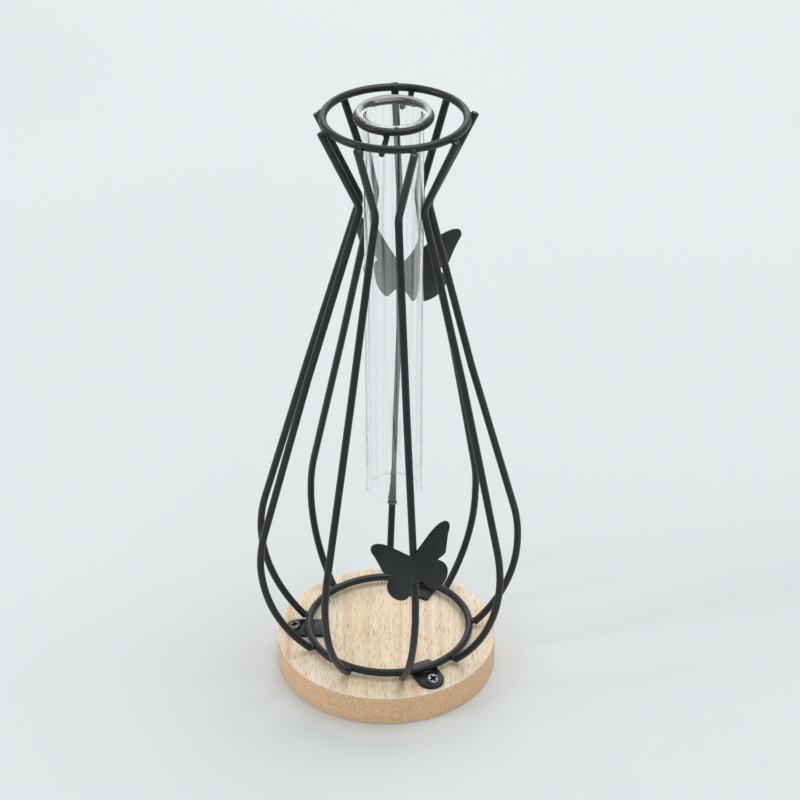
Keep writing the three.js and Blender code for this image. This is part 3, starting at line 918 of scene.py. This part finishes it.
def glass_tube():
    mesh = bmesh.new()
    bore = TUBE_RADIUS - TUBE_WALL
    bore_floor = TUBE_BOTTOM + TUBE_FLOOR
    flare_start = LIP_SEAT - LIP_FLARE
    rim = (LIP_TOP - LIP_SEAT) / 2
    crest = LIP_RADIUS - rim
    corner = (TUBE_RADIUS - TUBE_CORNER, TUBE_BOTTOM + TUBE_CORNER)
    bore_corner = (bore - BORE_CORNER, bore_floor + BORE_CORNER)
    profile = [(0, TUBE_BOTTOM)]
    profile += arc(corner, TUBE_CORNER, -PI / 2, 0, TUBE_CORNER_STEPS)
    profile += flare(TUBE_RADIUS, crest, flare_start, LIP_SEAT)
    profile += arc((crest, LIP_SEAT + rim), rim, -PI / 2, PI / 2, RIM_STEPS)[1:]
    profile += reversed(flare(bore, crest, flare_start + BORE_FLARE_RISE, LIP_TOP)[:-1])
    profile += arc(bore_corner, BORE_CORNER, 0, -PI / 2, BORE_CORNER_STEPS)
    profile += [(0, bore_floor)]
    add_lathe(mesh, profile, TUBE_STEPS, TUBE_RING_PLACE)
    add_piece("glass_tube", mesh, "tube_glass", "tube")


def flare(radius, wide, low, high):
    """Profile points where a wall opens smoothly from one radius to a wider one."""
    shares = [i / FLARE_STEPS for i in range(FLARE_STEPS + 1)]
    return [Vector((radius + (wide - radius) * s ** FLARE_POWER, low + (high - low) * s)) for s in shares]


# Stage: floor, light and camera

def floor():
    shader = Shader("pale_floor")
    shader.set(
        Base_Color=shader.ramp(shader.noise(3, detail=1), (0.3, FLOOR_DARK), (0.7, FLOOR_LIGHT)),
        Roughness=0.9,
        Specular_IOR_Level=0.1,
    )
    mesh = bpy.data.meshes.new("floor")
    corners = [(x * FLOOR_REACH, y * FLOOR_REACH, 0) for x, y in ((-1, -1), (1, -1), (1, 1), (-1, 1))]
    mesh.from_pydata(corners, [], [(0, 1, 2, 3)])
    mesh.materials.append(shader.material)
    plane = bpy.data.objects.new("floor", mesh)
    bpy.context.scene.collection.objects.link(plane)


def world():
    """Even light from all round; rays that look at it directly see the backdrop's colour."""
    made = bpy.data.worlds.new("studio")
    made.use_nodes = True
    nodes, links = made.node_tree.nodes, made.node_tree.links
    light = nodes["Background"]
    light.inputs["Color"].default_value = (*SKY, 1)
    light.inputs["Strength"].default_value = SKY_STRENGTH
    shown = nodes.new("ShaderNodeBackground")
    shown.inputs["Color"].default_value = (*BACKDROP, 1)
    path = nodes.new("ShaderNodeLightPath")
    seen = nodes.new("ShaderNodeMath")
    seen.operation = "MAXIMUM"
    links.new(path.outputs["Is Camera Ray"], seen.inputs[0])
    links.new(path.outputs["Is Transmission Ray"], seen.inputs[1])
    choice = nodes.new("ShaderNodeMixShader")
    links.new(seen.outputs["Value"], choice.inputs["Fac"])
    links.new(light.outputs["Background"], choice.inputs[1])
    links.new(shown.outputs["Background"], choice.inputs[2])
    links.new(choice.outputs["Shader"], nodes["World Output"].inputs["Surface"])
    bpy.context.scene.world = made


def softbox(name, place, aim, size, power):
    lamp = bpy.data.lights.new(name, "AREA")
    lamp.shape = "RECTANGLE"
    lamp.size, lamp.size_y = size
    lamp.energy = power
    made = bpy.data.objects.new(name, lamp)
    made.location = place
    made.rotation_euler = (Vector(aim) - Vector(place)).to_track_quat("-Z", "Y").to_euler()
    bpy.context.scene.collection.objects.link(made)


def camera():
    lens = bpy.data.cameras.new("camera")
    lens.sensor_width = SENSOR_WIDTH
    lens.lens = CAMERA_FOCUS * SENSOR_WIDTH / PHOTO_WIDTH
    made = bpy.data.objects.new("camera", lens)
    made.location = CAMERA_PLACE
    made.rotation_euler = (math.radians(90 - CAMERA_PITCH), 0, -math.radians(CAMERA_YAW))
    bpy.context.scene.collection.objects.link(made)
    bpy.context.scene.camera = made


wood_base()
rib_wires()
base_ring()
upper_rings()
arms()
tabs()
screws()
butterflies()
glass_tube()

floor()
world()
for name, settings in SOFTBOXES.items():
    softbox(name, *settings)
camera()
bpy.context.scene.view_settings.view_transform = "Standard"
